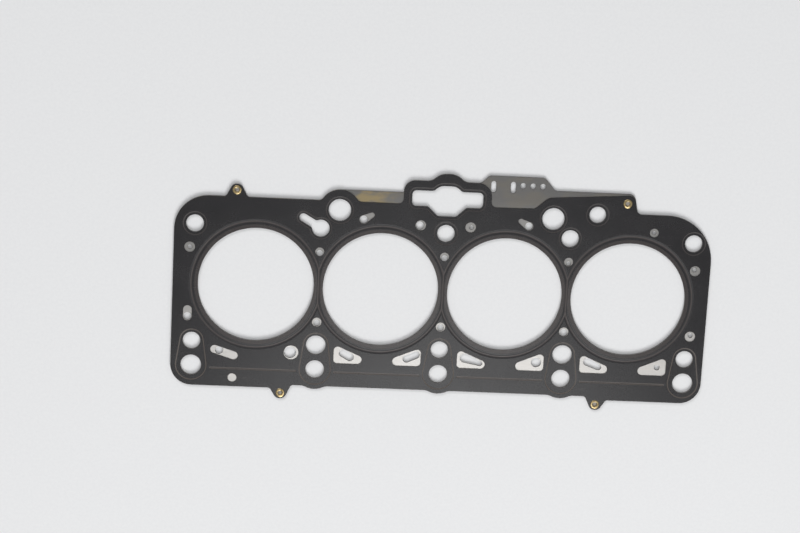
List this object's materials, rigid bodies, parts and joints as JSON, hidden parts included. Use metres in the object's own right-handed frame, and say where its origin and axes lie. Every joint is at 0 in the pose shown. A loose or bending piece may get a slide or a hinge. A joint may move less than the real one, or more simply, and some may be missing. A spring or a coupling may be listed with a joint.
{
  "type": "cylinder head gasket",
  "caption": "Multi-layer steel head gasket for an in-line engine: a bare carrier sheet and a coated sheet with beads round the bores, joined by hollow rivets.",
  "frame": {"origin": "middle of the row of bores, on the face that lies on the engine block", "axes": "+X along the row of bores, towards the end with the larger rounded upper corner and away from the keyhole; +Y towards the chain opening and the tab; +Z out of the face that meets the cylinder head, along the clamping direction"},
  "size_m": [0.3798, 0.1676, 0.0024],
  "materials": {
    "bare_steel": "bare rolled steel, dull",
    "coated_steel": "thin black rubber coating, satin",
    "brass": "plain brass, satin"
  },
  "bodies": {
    "root": {"carrier_layer": "bare_steel", "upper_active_layer": "coated_steel", "rivet_1": "brass", "rivet_2": "brass", "rivet_3": "brass", "rivet_4": "brass"}
  },
  "joints": []
}
